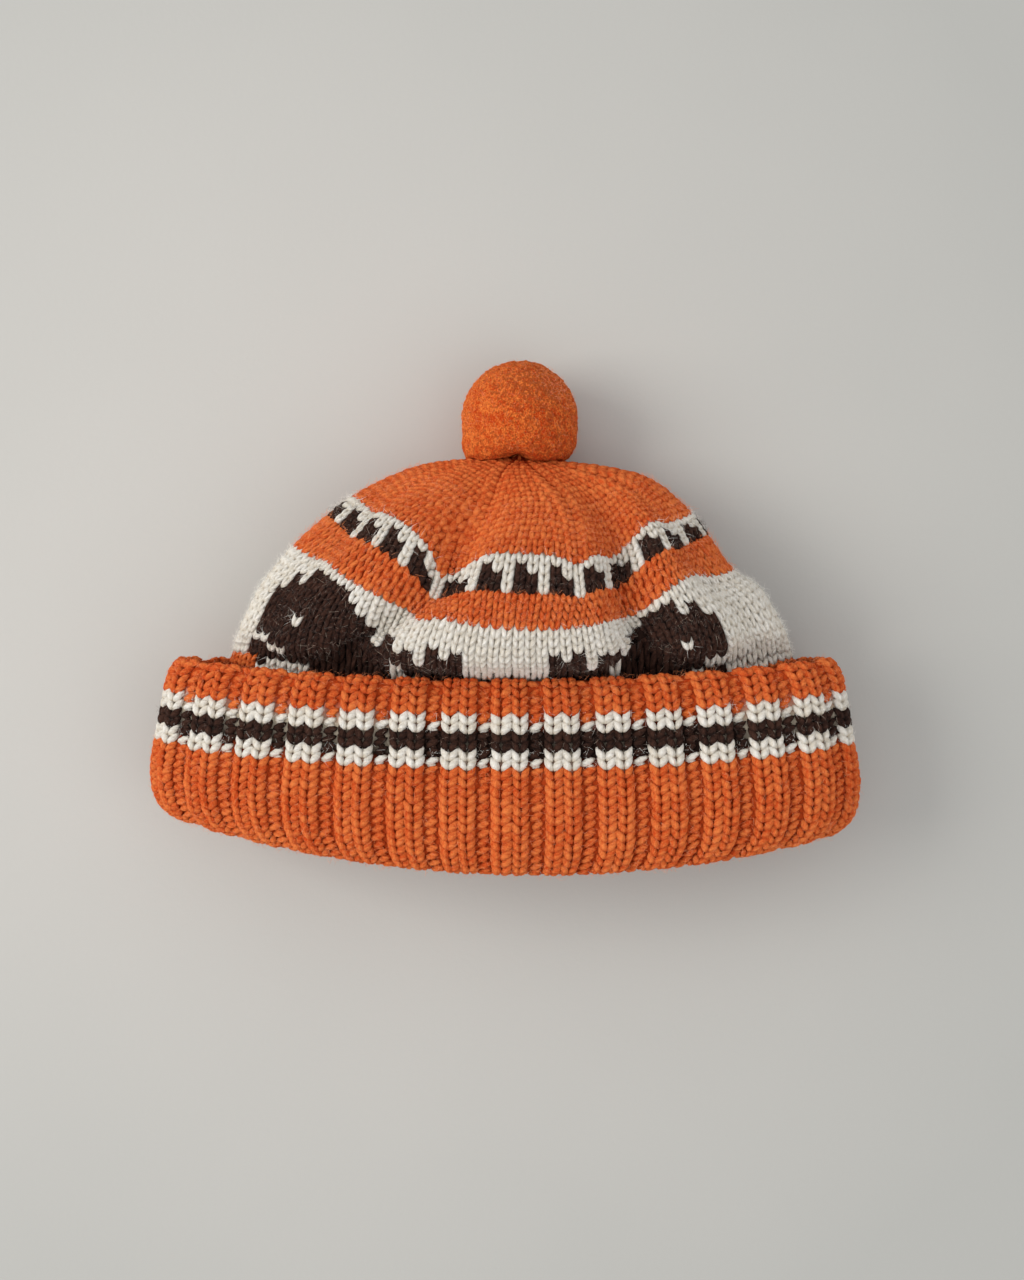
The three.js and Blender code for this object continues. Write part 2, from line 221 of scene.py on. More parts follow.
def section_at(table, key, value):
    """A smooth run through a table of sections, column by column."""
    keys = table[key]
    value = np.asarray(value, dtype=float)
    upper = np.clip(np.searchsorted(keys, value, side="right"), 1, len(keys) - 1)
    start = upper - 1
    before = np.maximum(start - 1, 0)
    after = np.minimum(upper + 1, len(keys) - 1)
    span = keys[upper] - keys[start]
    share = (value - keys[start]) / span
    two, three = share**2, share**3
    result = {}
    for column, places in table.items():
        even = (places[upper] - places[start]) / span
        first = (places[upper] - places[before]) / (keys[upper] - keys[before])
        last = (places[after] - places[start]) / (keys[after] - keys[start])
        first = np.where(before == start, even, first) * span
        last = np.where(after == upper, even, last) * span
        rise = places[start] * (2 * three - 3 * two + 1) + places[upper] * (3 * two - 2 * three)
        result[column] = rise + first * (three - 2 * two + share) + last * (three - two)
    return result


def oval_point(oval, angle):
    """A point of a flattened oval. Angle 0 is the middle of the front, and it turns to the right."""
    power = 2 / oval["square"]
    across = np.sign(np.sin(angle)) * np.abs(np.sin(angle)) ** power
    through = np.sign(np.cos(angle)) * np.abs(np.cos(angle)) ** power
    middle = oval["low"] + (oval["high"] - oval["low"]) * oval["widest"]
    reach = np.where(through > 0, oval["high"] - middle, middle - oval["low"])
    edge = np.where(through > 0, oval["front_y"], oval["back_y"])
    y = edge + (oval["side_y"] - edge) * across**2 - oval["skew"] * across
    x = oval["centre"] + oval["half"] * across
    return np.stack(np.broadcast_arrays(x, y, middle + through * reach), axis=-1)


turn_steps = np.linspace(-math.pi, math.pi, 241)


def even_angles(oval, share):
    """The angles at shares of the way round one oval, so that stitches are spaced evenly along it."""
    lengths = np.linalg.norm(np.diff(oval_point(oval, turn_steps), axis=0), axis=1)
    run = np.concatenate([[0], np.cumsum(lengths)])
    total = run[-1]
    runs = np.concatenate([run[:-1] - total, run, run[1:] + total])
    turns = 2 * math.pi
    angles = np.concatenate([turn_steps[:-1] - turns, turn_steps, turn_steps[1:] + turns])
    return np.interp(share * total + run[120], runs, angles)


crown_floor = (cuff_wall + rib_rise + pocket_gap) / crown_height
crown_top = crown_floor + crown_base_depth / crown_height
crown_sections = columns(
    "row half side front back top floor square lean skew",
    [
        [0, 1, -0.018, -0.194, -0.18, crown_top, crown_floor, 2.5, 0.028, 0],
        [0.05, 0.985, 0.05, -0.095, -0.12, 0.675, 0.073, 2.5, 0.028, 0],
        [0.1, 0.962, 0.125, -0.056, -0.05, 0.85, 0.068, 2.4, 0.028, 0],
        [0.15, 0.925, 0.235, -0.03, 0.03, 0.92, 0.04, 2.35, 0.027, 0.004],
        [0.21, 0.873, 0.36, 0.02, 0.12, 0.96, 0.01, 2.3, 0.026, 0.01],
        [0.325, 0.769, 0.5, 0.15, 0.3, 1.0, -0.014, 2.2, 0.034, 0.044],
        [0.42, 0.672, 0.655, 0.3, 0.46, 0.98, -0.014, 2.1, 0.048, 0.035],
        [0.535, 0.595, 0.765, 0.507, 0.62, 0.9, -0.014, 2.1, 0.065, 0.03],
        [0.7, 0.41, 0.93, 0.74, 0.81, 0.72, 0.01, 2.0, 0.09, 0.016],
        [0.87, 0.18, 0.99, 0.92, 0.95, 0.53, 0.15, 2.0, 0.06, 0.005],
        [1, 0, 1, 1, 1, 0.34, 0.34, 2.0, 0.056, 0],
    ],
)
creases = columns(
    "cuff band tip depth",
    [
        [-0.14, -0.072, -0.07, 1.0],
        [0.1, 0.112, 0.118, 1.1],
        [0.2, 0.2, 0.18, 0.3],
        [-0.215, -0.205, -0.19, 0.25],
        [0.36, 0.35, 0.34, 0.55],
        [-0.37, -0.36, -0.34, 0.55],
    ],
)
band_level = 0.48
girth_share = 4.4
crease_depth = 9.0
crease_width = 7.0
gore_count = 8
gore_groove = 1.2
gore_dip = 4.2 / 112
first_gore = -0.066
crown_rows = 43


def crown_oval(row):
    share = section_at(crown_sections, "row", row)
    half = crown_width / 2
    return {
        "centre": half * share["lean"],
        "half": np.maximum(half * share["half"], 0),
        "side_y": crown_length * share["side"],
        "front_y": crown_length * share["front"],
        "back_y": crown_length * share["back"],
        "high": crown_height * share["top"],
        "low": crown_height * share["floor"],
        "square": share["square"],
        "skew": half * share["skew"],
        "widest": 0.42,
    }


def crease_at(share, row, oval):
    depth = 0
    for cuff, band, tip, deep in zip(*creases.values()):
        if row < band_level:
            place = cuff + (band - cuff) * row / band_level
        else:
            place = band + (tip - band) * (row - band_level) / (1 - band_level)
        away = (share - place - np.round(share - place)) * oval["half"] * girth_share
        depth = depth + deep * np.exp(-((away / crease_width) ** 2))
    return crease_depth * depth * smooth(0, 0.12, row) * (1 - 0.9 * smooth(0.45, 0.92, row))


def crown_line(share, row):
    """One row of the crown's outer face."""
    line = (1 - np.abs(np.sin(math.pi * (share - first_gore) * gore_count))) ** 2
    dipped = row - gore_dip * line * smooth(0.33, 0.5, row) * (1 - smooth(0.7, 1, row))
    angle = even_angles(crown_oval(row), share)
    oval = crown_oval(dipped)
    along = oval_point(crown_oval(np.minimum(dipped + 0.02, 0.995)), angle)
    along = along - oval_point(crown_oval(np.maximum(dipped - 0.02, 0)), angle)
    around = oval_point(oval, angle + 0.03) - oval_point(oval, angle - 0.03)
    out = np.cross(around, along)
    out /= np.linalg.norm(out, axis=-1, keepdims=True)
    grooved = gore_groove * line * smooth(0.2, 0.5, row) * (1 - smooth(0.85, 1, row))
    point = oval_point(oval, angle) - out * (crease_at(share, row, oval) + grooved)[:, None]
    point[:, 2] = np.maximum(point[:, 2], 0)
    point[:, 1] += knit_origin
    return point * MM


class Sheet:
    """A face of the knitting, as a grid of points: rows of stitches up it, and shares of the way round."""

    def __init__(self, points, rows):
        self.points = points
        self.rows = rows

    def at(self, share, row):
        share, row = np.broadcast_arrays(np.asarray(share, float), np.asarray(row, float))
        high, wide = self.points.shape[:2]
        up = np.clip(row / self.rows, 0, 1) * (high - 1)
        across = (share % 1) * wide
        lower = np.minimum(up.astype(int), high - 2)
        left = across.astype(int) % wide
        right = (left + 1) % wide
        rise = (up - lower)[..., None]
        part = (across - np.floor(across))[..., None]
        below = self.points[lower, left] * (1 - part) + self.points[lower, right] * part
        above = self.points[lower + 1, left] * (1 - part) + self.points[lower + 1, right] * part
        return below * (1 - rise) + above * rise

    def out(self, share, row, reach=0.006, step=0.6):
        """The direction straight out of the knitting."""
        across = self.at(share + reach, row) - self.at(share - reach, row)
        up = self.at(share, row + step) - self.at(share, row - step)
        out = np.cross(across, up)
        return out / np.maximum(np.linalg.norm(out, axis=-1, keepdims=True), 1e-12)


sheet_shares = np.arange(624) / 624
crown_levels = np.linspace(0, 1, crown_rows * 4 + 1)
crown_points = np.array([crown_line(sheet_shares, level) for level in crown_levels[:-1]])
tip_oval = crown_oval(1)
tip = np.array([tip_oval["centre"], tip_oval["side_y"] + knit_origin, tip_oval["high"]]) * MM
crown_points = np.concatenate([crown_points, np.broadcast_to(tip, (1, len(sheet_shares), 3))])
peak_rise = 2.6 * MM  # how far the gathered tip pushes up into the pompom's parting
crown_points[..., 1] += peak_rise * smooth(0.88, 1, crown_levels)[:, None]
crown_face = Sheet(crown_points, crown_rows)

# How many rows of the colour pattern are hidden behind the cuff, how many rows the field and the stripe
# ride up where the right-hand fold pulls on them, and how many the band is drawn up or down between the
# folds. share is the way round from the middle of the front.
tucked = columns(
    "share rows",
    [
        [-0.5, 3.0],
        [-0.25, 2.0],
        [-0.16, 2.0],
        [-0.12, 3.5],
        [-0.09, 5.5],
        [-0.05, 6.9],
        [0.06, 6.9],
        [0.1, 5.5],
        [0.13, 4.0],
        [0.18, 4.0],
        [0.22, 3.0],
        [0.5, 3.0],
    ],
)
ridden = columns(
    "share rows",
    [
        [-0.5, 0],
        [0.115, 0],
        [0.14, 1.0],
        [0.16, 1.1],
        [0.19, 1.0],
        [0.22, 0.3],
        [0.25, 0],
    ],
)
drawn = columns(
    "share rows",
    [
        [-0.25, 0],
        [-0.215, 0.5],
        [-0.191, 1.7],
        [-0.165, 0.6],
        [-0.13, 0],
        [-0.1, -1.0],
        [-0.083, -3.1],
        [-0.066, 0],
        [0.1, 0],
        [0.12, 0.8],
        [0.15, 1.6],
        [0.184, 2.6],
        [0.2, 1.2],
        [0.22, 0.2],
        [0.25, 0],
    ],
)
lip_row = 2.0
field_rows = 14
stripe_top = 18
band_top = 22


def wrapped(share):
    return (share + 0.5) % 1 - 0.5


def crown_level(share, row):
    """The level of the crown's face that a row of the pattern lies on. Stripe and band are looser."""
    hidden = np.interp(wrapped(share), tucked["share"], tucked["rows"])
    slope = (field_rows - lip_row) / (field_rows - hidden)
    level = np.where(row < field_rows, field_rows - (field_rows - row) * slope, row)
    level = level + np.clip((row - field_rows) / (band_top - field_rows), 0, 1)
    ride = np.interp(wrapped(share), ridden["share"], ridden["rows"])
    pull = np.interp(wrapped(share), drawn["share"], drawn["rows"])
    pull = pull * (0.45 * smooth(9, 13, row) + 0.55 * smooth(17, 21, row))
    pull = pull * (1 - smooth(band_top + 1, band_top + 9, row))
    return level + pull + ride * smooth(8, 14, row) * (1 - smooth(14, 23, row))


ORANGE, CREAM, BROWN = 0, 1, 2
field_stitches = 104
stripe_stitches = [100, 96, 92, 88]
band_stitches = 84
decreases = [10, 10, 9, 9, 8, 8, 7, 7, 6, 6, 5, 5, 4, 4, 3, 3, 2, 2, 1, 1]

# A whale with its head to the left and its tail up, from the last row of the field down. Each letter is a
# stitch, # brown and . cream.
whale = """
....................
....#####...........
..#.######..........
..#########......#.#
.###########.#.#.###
.###########.###.###
.####.######.#######
.#############.#####
.#############..####
...###########.#####
.##..##############.
.#################..
..#....##########...
....................
""".split()[::-1]
whale_left = -24  # its first stitch, counted from the middle of the front
mirror_left = 3  # the first stitch of the whale that faces it
folded_away = (13, 9, 8, 4)  # stitches of that whale which the right-hand fold takes up
mirror_order = [place for place in range(19, 0, -1) if place not in folded_away]
pair_stitches = field_stitches // 2


def field_colour(column, row):
    """The colour of a stitch of the field, whose pair of whales comes twice round."""
    place = (column - whale_left) % pair_stitches
    if place < len(whale[0]):
        return BROWN if whale[row][place] == "#" else CREAM
    place = (column - mirror_left) % pair_stitches
    if place < len(mirror_order):
        return BROWN if whale[row][mirror_order[place]] == "#" else CREAM
    return CREAM


def band_colour(column, row):
    """A row of brown teeth on cream, three stitches apart."""
    height = (3, 2, 0)[column % 3]
    return BROWN if row - stripe_top < height else CREAM


def crown_stitches():
    """The place, width and colour of each stitch of the crown, as shares of the way round and rows."""
    stitches = []
    for row in range(crown_rows - 1):
        if row < field_rows:
            count, start = field_stitches, 0
        elif row < stripe_top:
            count, start = stripe_stitches[row - field_rows], 0
        elif row < band_top:
            count, start = band_stitches, -0.5 / band_stitches
        else:
            count, start = gore_count * decreases[row - band_top], first_gore
        for column in range(count):
            if row < field_rows:
                colour = field_colour(column, row)
            else:
                colour = band_colour(column, row) if stripe_top <= row < band_top else ORANGE
            stitches.append((start + (column + 0.5) / count, row, 1 / count, colour))
    return np.array(stitches)


def add_leg(name, sides, rings):
    """Half of one knitted stitch: a plump strand 1 long and 1 thick, thinner where it is drawn under."""
    body = bmesh.new()
    layer = body.loops.layers.uv.new("UVMap")
    circles = []
    for ring in range(rings):
        along = (ring + 0.5) / rings
        plump = math.sin(math.pi * along**0.85) ** 0.62
        bow = 0.1 * math.sin(math.pi * along)
        circle = []
        for side in range(sides):
            angle = 2 * math.pi * side / sides
            x, z = 0.5 * plump * math.cos(angle), 0.5 * plump * math.sin(angle) + bow
            circle.append(body.verts.new((x, along - 0.5, z)))
        circles.append(circle)
    ends = [body.verts.new((0, -0.5, 0)), body.verts.new((0, 0.5, 0))]

    def face(corners, places):
        made = body.faces.new(corners)
        made.smooth = True
        for loop, place in zip(made.loops, places):
            loop[layer].uv = place

    for side in range(sides):
        after = (side + 1) % sides
        u, v = side / sides, (side + 1) / sides
        low, high = 0.5 / rings, 1 - 0.5 / rings
        face((ends[0], circles[0][side], circles[0][after]), ((u, 0), (u, low), (v, low)))
        face((ends[1], circles[-1][after], circles[-1][side]), ((v, 1), (v, high), (u, high)))
        for ring in range(rings - 1):
            below, above = (ring + 0.5) / rings, (ring + 1.5) / rings
            first, second = circles[ring], circles[ring + 1]
            corners = (first[after], first[side], second[side], second[after])
            face(corners, ((v, below), (u, below), (u, above), (v, above)))
    bmesh.ops.recalc_face_normals(body, faces=body.faces)
    mesh = bpy.data.meshes.new(name)
    body.to_mesh(mesh)
    body.free()
    shape = bpy.data.objects.new(name, mesh)
    bpy.context.collection.objects.link(shape)
    return shape


def laying_tree():
    """Lays one small shape on each point, turned and sized by the point's own attributes."""
    tree = bpy.data.node_groups.new("lay_on_points", "GeometryNodeTree")
    sockets = [
        ("Points", "INPUT", "NodeSocketGeometry"),
        ("Shape", "INPUT", "NodeSocketObject"),
        ("Finish", "INPUT", "NodeSocketMaterial"),
        ("Thickness", "INPUT", "NodeSocketFloat"),
        ("Knitting", "OUTPUT", "NodeSocketGeometry"),
    ]
    for name, side, kind in sockets:
        tree.interface.new_socket(name, in_out=side, socket_type=kind)
    nodes = {}
    for name, kind in [
        ("in", "NodeGroupInput"),
        ("out", "NodeGroupOutput"),
        ("turn", "GeometryNodeInputNamedAttribute"),
        ("size", "GeometryNodeInputNamedAttribute"),
        ("shape", "GeometryNodeObjectInfo"),
        ("rotation", "FunctionNodeEulerToRotation"),
        ("thick", "ShaderNodeCombineXYZ"),
        ("scale", "ShaderNodeVectorMath"),
        ("lay", "GeometryNodeInstanceOnPoints"),
        ("real", "GeometryNodeRealizeInstances"),
        ("finish", "GeometryNodeSetMaterial"),
    ]:
        nodes[name] = tree.nodes.new(kind)
    for name in ("turn", "size"):
        nodes[name].data_type = "FLOAT_VECTOR"
        nodes[name].inputs["Name"].default_value = name
    nodes["scale"].operation = "MULTIPLY"
    nodes["thick"].inputs["Y"].default_value = 1.0
    for start, output, end, socket in [
        ("in", "Points", "lay", "Points"),
        ("in", "Shape", "shape", "Object"),
        ("in", "Thickness", "thick", "X"),
        ("in", "Thickness", "thick", "Z"),
        ("in", "Finish", "finish", "Material"),
        ("shape", "Geometry", "lay", "Instance"),
        ("turn", "Attribute", "rotation", "Euler"),
        ("rotation", "Rotation", "lay", "Rotation"),
        ("thick", "Vector", "scale", 0),
        ("size", "Attribute", "scale", 1),
        ("scale", "Vector", "lay", "Scale"),
        ("lay", "Instances", "real", "Geometry"),
        ("real", "Geometry", "finish", "Geometry"),
        ("finish", "Geometry", "out", "Knitting"),
    ]:
        tree.links.new(nodes[start].outputs[output], nodes[end].inputs[socket])
    return tree


lay_on_points = laying_tree()


def euler_of(right, up, out):
    """The turn of each small shape whose X, Y and Z point right, up and out."""
    turns = []
    for axes in zip(right, up, out):
        turns.append(Matrix(axes).transposed().to_euler("XYZ"))
    return np.array(turns)


def lay(name, places, turns, sizes, tints, shape, material, thickness=1.0, colours=None):
    """A piece made of one small shape laid at many places, as a plain mesh."""
    mesh = bpy.data.meshes.new(name)
    mesh.from_pydata(places.tolist(), [], [])
    values = [("turn", "FLOAT_VECTOR", "vector", turns), ("size", "FLOAT_VECTOR", "vector", sizes)]
    values.append(("tint", "FLOAT", "value", tints))
    if colours is not None:
        values.append(("dye", "FLOAT_COLOR", "color", colours))
    for title, kind, field, numbers in values:
        attribute = mesh.attributes.new(title, kind, "POINT")
        attribute.data.foreach_set(field, np.asarray(numbers, dtype=np.float32).ravel())
    piece = bpy.data.objects.new(name, mesh)
    bpy.context.collection.objects.link(piece)
    modifier = piece.modifiers.new("lay", "NODES")
    modifier.node_group = lay_on_points
    inputs = {item.name: item.identifier for item in lay_on_points.interface.items_tree}
    modifier[inputs["Shape"]] = shape
    modifier[inputs["Finish"]] = material
    modifier[inputs["Thickness"]] = thickness
    depsgraph = bpy.context.evaluated_depsgraph_get()
    real = bpy.data.meshes.new_from_object(
        piece.evaluated_get(depsgraph), preserve_all_data_layers=True, depsgraph=depsgraph
    )
    piece.modifiers.remove(modifier)
    piece.data = real
    real.name = name
    for title in ("turn", "size"):
        real.attributes.remove(real.attributes[title])
    return piece


chance = np.random.default_rng(7)


def unit(vectors):
    return vectors / np.maximum(np.linalg.norm(vectors, axis=-1, keepdims=True), 1e-12)


def legs_for(
    face, share, row, width, level=None,
    spread=(0.1, 0.42), reach=(-0.36, 1.2), lift=(-0.35, -1.1), thick=(0.98, 0.85),
):
    """The places, turns, sizes and tints of both legs of each stitch.

    spread, reach and lift hold where a leg's lower and upper ends lie: across the stitch as a share of its
    width, up it in rows, and out of the face in mm. thick is its width in half stitches, and its depth as
    a share of that.
    """
    places, turns, sizes = [], [], []
    level = level or (lambda share, row: row)
    for side in (-1, 1):
        jitter = chance.normal(0, 0.02, len(share))
        low_share = share + side * width * (spread[0] + jitter)
        high_share = share + side * width * (spread[1] + jitter)
        low = face.at(low_share, level(low_share, row + reach[0]))
        high = face.at(high_share, level(high_share, row + reach[1]))
        middle = level(share, row + 0.5)
        out = face.out(share + side * width * 0.22, middle)
        across = face.at(share + width / 2, middle) - face.at(share - width / 2, middle)
        wide = np.linalg.norm(across, axis=-1)
        low = low + out * (lift[0] + chance.normal(0, 0.06, len(share)))[:, None] * MM
        high = high + out * (lift[1] + chance.normal(0, 0.06, len(share)))[:, None] * MM
        up = unit(high - low)
        right = unit(np.cross(up, out))
        length = np.linalg.norm(high - low, axis=-1) * 1.08
        leg_width = wide * 0.5 * thick[0] * chance.normal(1, 0.05, len(share))
        place = (low + high) / 2
        place[:, 2] = np.maximum(place[:, 2], leg_width * 0.55 + np.abs(up[:, 2]) * length * 0.5)
        places.append(place)
        turns.append(euler_of(right, up, np.cross(right, up)))
        sizes.append(np.stack([leg_width, length, leg_width * thick[1]], axis=-1))
    tints = chance.random(2 * len(share))
    return np.concatenate(places), np.concatenate(turns), np.concatenate(sizes), tints


def wool(name, colour, deep, pale, hairs=0.2):
    """Thick spun wool: twisted plies on each strand, with loose fibres over them; the grooves of the twist
    and the ends of each strand are darkened as painted shade.
    """
    yarn = Finish(name)
    place = yarn.node("ShaderNodeUVMap", {"uv_map": "UVMap"})
    split = yarn.node("ShaderNodeSeparateXYZ", sockets={"Vector": place})
    around, along = split, Wire(yarn, split.socket.node.outputs[1])
    tint = yarn.attribute("tint", "Fac")
    turns = (around * 2.0 + along * 2.2) * (2 * math.pi)
    ply = yarn.node("ShaderNodeMath", {"operation": "SINE"}, {0: turns})
    twisted = yarn.node(
        "ShaderNodeCombineXYZ", sockets={"X": around * 9.0 + along * 7.0, "Y": along * 2.5, "Z": tint * 40.0}
    )
    fibres = yarn.noise(twisted, 1.6, 4.0, 0.7)
    spot = yarn.node("ShaderNodeTexCoord", out="Object")
    felt = yarn.noise(spot, 1700.0, 3.0, 0.7)
    cloud = yarn.noise(spot, 60.0, 2.0)
    # The ply term darkens the grooves of the twist as painted shade; the other terms are the wool's own
    # uneven tone.
    shade = yarn.clamp((ply * 0.14 + fibres * 1.9 + felt * 1.9 + tint * 0.5 + cloud * 0.6) - 1.9)
    body = yarn.blend(shade, linear(*colour), linear(*pale))
    # Painted shade: both ends of each strand, where it passes under the next stitches, blend to the darker
    # end colour.
    away_from_ends = yarn.clamp(along * (1.0 - along) * 6.0)
    yarn.surface(base_color=yarn.blend(away_from_ends, linear(*deep), body))
    yarn.surface(roughness=0.95, sheen_weight=hairs, sheen_roughness=0.5)
    yarn.relief(ply * 0.35 + fibres * 1.2 + felt, 1.0, 0.0006)
    yarn.shader.inputs["Sheen Tint"].default_value = linear(*pale)
    yarn.shader.inputs["Specular IOR Level"].default_value = 0.15
    return yarn.material


orange_wool = wool("orange_wool", (212, 75, 24), (194, 66, 23), (248, 134, 68))
cream_wool = wool("cream_wool", (233, 221, 201), (204, 186, 160), (255, 249, 238), hairs=0.12)
brown_wool = wool("brown_wool", (30, 15, 10), (17, 9, 6), (74, 47, 36), hairs=0.04)
yarns = [("orange_wool", orange_wool), ("cream_wool", cream_wool), ("brown_wool", brown_wool)]
# The pattern's colours for the shells under the stitches, a little darker than the wool as painted shade in
# the gaps; they also sort the hairs by colour.
shaded_dyes = np.array([linear(200, 76, 28), linear(196, 182, 160), linear(30, 17, 12)])

leg = add_leg("leg", sides=6, rings=4)
stitches = crown_stitches()
shares, rows, widths, colours = stitches.T
levels = crown_level(shares, rows + 0.5)
beside_ears = np.abs(np.abs(wrapped(shares)) - 0.25) < 0.035
colours[(levels < np.where(shares % 1 > 0.5, 2.4, 1.3)) & beside_ears] = ORANGE
shown = levels > 0.0
crown_legs = legs_for(crown_face, shares[shown], rows[shown], widths[shown], level=crown_level)
gathered = np.tile(smooth(band_top - 1, band_top + 4, rows[shown]), 2)
crown_legs[2][:, 0] *= 1 + 0.35 * gathered
leg_colours = np.tile(colours[shown], 2)


def finish_piece(piece, slot, *nodes):
    """Makes a finished mesh ride with the hat and hides the parts of the model that it stands for."""
    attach(piece, "root")
    if nodes:
        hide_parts(*nodes)


def lay_in_colours(part, ending, arrays, colours, shape):
    """Lays the strands of each colour of wool as a piece of their own."""
    for index, (slot, material) in enumerate(yarns):
        chosen = [array[colours == index] for array in arrays]
        piece = lay(part + slot.replace("_wool", ending), *chosen, shape, material)
        finish_piece(piece, slot)


lay_in_colours("crown_", "_stitches", crown_legs, leg_colours, leg)


def mesh_from_rows(name, rows, closed_loop=False, caps=()):
    """A mesh from rows of points that each go once round, with fans to the points in caps."""
    rows = [np.asarray(row) for row in rows]
    wide = len(rows[0])
    points = np.concatenate(rows + [np.asarray(point)[None] for _, point in caps])
    faces = []
    count = len(rows)
    for i in range(count if closed_loop else count - 1):
        low, high = i * wide, ((i + 1) % count) * wide
        for k in range(wide):
            after = (k + 1) % wide
            faces.append((low + k, low + after, high + after, high + k))
    for index, (row, _) in enumerate(caps):
        start = (row % count) * wide
        for k in range(wide):
            faces.append((start + k, start + (k + 1) % wide, count * wide + index))
    mesh = bpy.data.meshes.new(name)
    mesh.from_pydata(points.tolist(), [], faces)
    body = bmesh.new()
    body.from_mesh(mesh)
    bmesh.ops.recalc_face_normals(body, faces=body.faces)
    for face in body.faces:
        face.smooth = True
    body.to_mesh(mesh)
    body.free()
    piece = bpy.data.objects.new(name, mesh)
    bpy.context.collection.objects.link(piece)
    return piece


def nearest(points, places):
    tree = KDTree(len(points))
    for index, point in enumerate(points):
        tree.insert(point, index)
    tree.balance()
    found = [tree.find(place) for place in places]
    return np.array([item[1] for item in found]), np.array([item[2] for item in found])


def dye_points(piece, colours):
    attribute = piece.data.attributes.new("dye", "FLOAT_COLOR", "POINT")
    attribute.data.foreach_set("color", np.asarray(colours, dtype=np.float32).ravel())


def backing_wool():
    """The back of the knitting, seen between the stitches and behind them: small loops in each colour,
    blended up to halfway toward near-black as painted shade in the gaps.
    """
    yarn = Finish("shaded_knitting_back")
    dye = yarn.attribute("dye", "Color")
    spot = yarn.node("ShaderNodeTexCoord", out="Object")
    loops = yarn.node("ShaderNodeTexVoronoi", sockets={"Vector": spot, "Scale": 420.0})
    felt = yarn.noise(spot, 1500.0, 3.0)
    yarn.surface(base_color=yarn.blend(felt * 0.5, dye, linear(20, 10, 6)), roughness=0.97)
    yarn.relief(felt * 0.4 - loops, 0.8, 0.0008)
    yarn.shader.inputs["Specular IOR Level"].default_value = 0.1
    return yarn.material


shaded_knitting_back = backing_wool()
shell_shares = np.arange(208) / 208
under_stitches = 1.1  # how far the shell lies under the stitches' faces
outer_rings = 84
inner_rings = 40
hidden_rows = 1.4  # the rows at the crown's foot, which the inside of the cuff hides, are orange


def crown_dye(share, level):
    """The colour of the pattern at a place of the crown's face."""
    steps = np.linspace(-6, crown_rows - 1, 120)
    result = []
    for place, low in zip(share, level):
        height = np.interp(low, crown_level(place, steps), steps)
        if low < hidden_rows:
            result.append(ORANGE)
        elif height < field_rows:
            result.append(field_colour(int(math.floor(place * field_stitches)), max(int(height), 0)))
        elif stripe_top <= height < band_top:
            column = int(math.floor(place * band_stitches + 0.5))
            result.append(band_colour(column, int(height)))
        else:
            result.append(ORANGE)
    return shaded_dyes[result]


def make_crown_shell():
    """The closed wall under the crown's stitches, whose inner face is a little paler."""
    outer_levels = np.linspace(0, crown_rows - 1, outer_rings)
    inner_levels = np.linspace(crown_rows - 4, 0, inner_rings)
    rows, shell_dyes = [], []
    for levels, depth in ((outer_levels, under_stitches), (inner_levels, crown_wall)):
        for level in levels:
            outward = crown_face.out(shell_shares, np.clip(level, 0.7, crown_rows - 2))
            risen = 0.6 * smooth(band_top, band_top + 3, level) if depth == under_stitches else 0
            row = crown_face.at(shell_shares, level) - outward * (depth - risen) * MM
            row[:, 2] = np.maximum(row[:, 2], (0.2 + depth * 0.6) * MM)
            rows.append(row)
            brightness = 1.0 if depth == under_stitches else 1.25
            shell_dyes.append(crown_dye(shell_shares, np.full(len(shell_shares), level)) * brightness)
    ordered = rows[:outer_rings][::-1] + rows[outer_rings:][::-1]
    ordered_dyes = shell_dyes[:outer_rings][::-1] + shell_dyes[outer_rings:][::-1]
    end = tip + np.array([0, peak_rise - under_stitches * MM, 0])
    inner_end = tip + np.array([0, peak_rise - crown_wall * 1.6 * MM, 0])
    shell = mesh_from_rows("crown_shell", ordered, caps=[(0, end), (len(ordered) - 1, inner_end)])
    dye_points(shell, np.concatenate(ordered_dyes + [shaded_dyes[[ORANGE]], shaded_dyes[[ORANGE]]]))
    shell.data.materials.append(shaded_knitting_back)
    finish_piece(shell, "cream_wool", "crown")


make_crown_shell()

# Cuff
# The cuff is two-by-two ribbing, knitted on from the crown, folded at its lower edge and turned up, so that
# it has two layers. A stripe of cream, brown and cream runs round the turned-up one.
cuff_width = 230.0
cuff_depth = 58.0
rib_count = 30
pressed_flat = 0.9
join_gap = 0.5
cuff_sections = columns(
    "height half front back",
    [
        [0.0, 0.925, 0.9, 0.05],
        [0.09, 0.98, 0.965, 0.0],
        [0.25, 1.0, 1.0, 0.0],
        [0.5, 0.985, 1.0, 0.0],
        [0.8, 0.963, 0.985, 0.0],
        [0.93, 0.948, 0.97, 0.0],
        [1.0, 0.925, 0.945, 0.02],
    ],
)
fold_edge = {"front_y": -1.1, "side_y": -0.87, "back_y": -1.03}
lip_edge = {"front_y": -0.1, "side_y": 0.0, "back_y": -0.02}
fold_skew = 3.0
rib_offset = 0.13 / rib_count
rib_shape = columns("turn rise", [[0, 1], [0.12, 0.98], [0.24, 0.85], [0.33, 0.5], [0.42, 0.1], [0.5, 0.0]])


def cuff_oval(height, inset):
    share = section_at(cuff_sections, "height", height)
    edges = {}
    for edge, fold in fold_edge.items():
        edges[edge] = cuff_height * (fold + (lip_edge[edge] - fold) * height)
    return {
        **edges,
        "centre": 0.0,
        "half": cuff_width / 2 * share["half"] - inset,
        "high": cuff_depth * share["front"] - inset,
        "low": cuff_depth * share["back"] - pressed_flat + inset,
        "square": 2.5,
        "skew": fold_skew * (1 - height),
        "widest": 0.5,
    }


